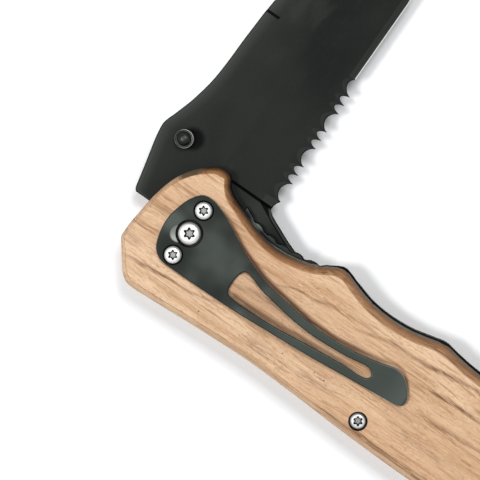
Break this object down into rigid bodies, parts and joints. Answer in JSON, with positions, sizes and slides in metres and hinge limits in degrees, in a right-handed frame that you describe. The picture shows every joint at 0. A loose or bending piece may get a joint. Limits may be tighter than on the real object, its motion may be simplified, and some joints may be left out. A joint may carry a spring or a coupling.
{
  "type": "folding knife",
  "caption": "Liner-lock folding pocket knife with wooden handle plates, a part-serrated coated blade, a flipper tab, thumb studs and a steel pocket clip.",
  "frame": {"origin": "on the blade's pivot axis, at the far side's flat face that the knife lies on", "axes": "+X along the handle to its tail; +Y square to the handle, toward its belly and along the half-open blade to its tip; +Z along the pivot axis, from the side the knife lies on to the clip side"},
  "size_m": [0.1288, 0.1154, 0.0174],
  "materials": {
    "wood": "light tan wood with brown streaks along the handle, smooth satin",
    "liner_steel": "black oxide on steel, satin",
    "blade_coat": "matt black coating on blade steel",
    "clip_coat": "dark satin grey coating on spring steel",
    "screw_steel": "bright turned steel",
    "bronze": "plain phosphor bronze"
  },
  "bodies": {
    "handle": {"far_scale": "wood", "near_scale": "wood", "far_liner": "liner_steel", "lock_side_liner": "liner_steel", "backspacer": "liner_steel", "stop_pin": "screw_steel", "pivot_barrel": "screw_steel", "pivot_screw": "screw_steel", "washer_far": "bronze", "washer_near": "bronze", "clip_screw_front": "screw_steel", "clip_screw_back": "screw_steel", "near_screw_middle": "screw_steel", "near_screw_rear": "screw_steel", "far_screw_front": "screw_steel", "far_screw_back": "screw_steel", "far_screw_middle": "screw_steel", "far_screw_rear": "screw_steel"},
    "blade": {"blade": "blade_coat", "thumb_stud_near": "blade_coat", "thumb_stud_far": "blade_coat"},
    "lock_bar": {"lock_bar": "liner_steel", "detent_ball": "screw_steel"},
    "clip": {"pocket_clip": "clip_coat"}
  },
  "joints": [
    {"name": "blade_pivot", "type": "hinge", "parent": "handle", "child": "blade", "pos_m": [0, 0, 0.00754], "axis": [0, 0, 1], "range_deg": [-90, 90]},
    {"name": "lock_bar_flex", "type": "hinge", "parent": "handle", "child": "lock_bar", "pos_m": [0.04597, 0.0055, 0.01015], "axis": [0, -1, 0], "range_deg": [0, 3.2], "stiffness_Nm_per_rad": 4, "deforming": ["lock_bar", "detent_ball"]},
    {"name": "clip_flex", "type": "hinge", "parent": "handle", "child": "clip", "pos_m": [0.0127, 0, 0.01571], "axis": [0, -1, 0], "range_deg": [0, 3.3], "stiffness_Nm_per_rad": 6, "deforming": ["pocket_clip"]}
  ]
}
